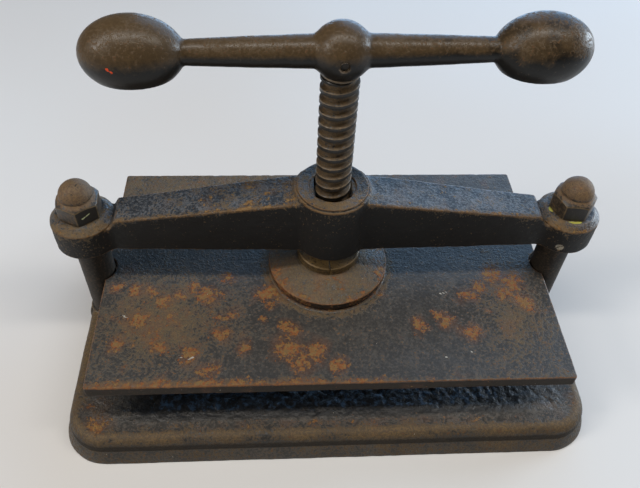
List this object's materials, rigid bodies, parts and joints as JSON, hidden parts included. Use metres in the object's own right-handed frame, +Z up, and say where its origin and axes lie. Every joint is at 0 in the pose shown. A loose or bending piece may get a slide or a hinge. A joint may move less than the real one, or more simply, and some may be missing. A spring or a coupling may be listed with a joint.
{
  "type": "book press",
  "caption": "Cast-iron screw press for books: ribbed bed, round pillars, arched yoke, coarse screw turned by a weighted handle, and a flat platen with a round hub.",
  "frame": {"origin": "middle of the bed's underside, on the table plane, under the axis of the screw", "axes": "X along the yoke from left to right as seen from the front, Y to the back, Z up along the screw"},
  "size_m": [0.489, 0.318, 0.3414],
  "materials": {
    "bed_iron": "rusted and waxed",
    "pillar_iron": "turned, dark patina",
    "yoke_iron": "as cast, dark patina",
    "nut_iron": "brown rust, worn corners",
    "platen_iron": "flaking rust over dark patina",
    "handle_iron": "smooth from hands, waxed",
    "keeper_iron": "turned, golden-brown patina",
    "screw_steel": "bright crests, brown roots",
    "bush_brass": "dull, oiled",
    "fastener_steel": "dark steel",
    "lock_steel": "pale, dull plating",
    "pad_steel": "ground"
  },
  "bodies": {
    "frame": {"bed": "bed_iron", "left_pillar": "pillar_iron", "right_pillar": "pillar_iron", "left_foot_washer": "fastener_steel", "right_foot_washer": "fastener_steel", "left_foot_nut": "fastener_steel", "right_foot_nut": "fastener_steel", "yoke": "yoke_iron", "left_cap_nut": "nut_iron", "right_cap_nut": "nut_iron", "screw_bush": "bush_brass", "bush_grub_screw": "fastener_steel", "eye_lock_screw": "lock_steel"},
    "platen": {"platen": "platen_iron", "left_keeper": "keeper_iron", "right_keeper": "keeper_iron", "keeper_screws": "fastener_steel", "thrust_pad": "pad_steel"},
    "spindle": {"screw": "screw_steel", "handle": "handle_iron", "handle_pin": "fastener_steel"}
  },
  "joints": [
    {"name": "platen_slide", "type": "slide", "parent": "frame", "child": "platen", "axis": [0, 0, 1], "range_m": [-0.0385, 0.0145]},
    {"name": "screw_turn", "type": "hinge", "parent": "platen", "child": "spindle", "pos_m": [0, 0, 0.2], "axis": [0, 0, 1], "range_deg": [-1330, 500]}
  ],
  "couplings": [
    {"joint": "platen_slide", "follows": "screw_turn", "m_per_rad": 0.0016552}
  ]
}
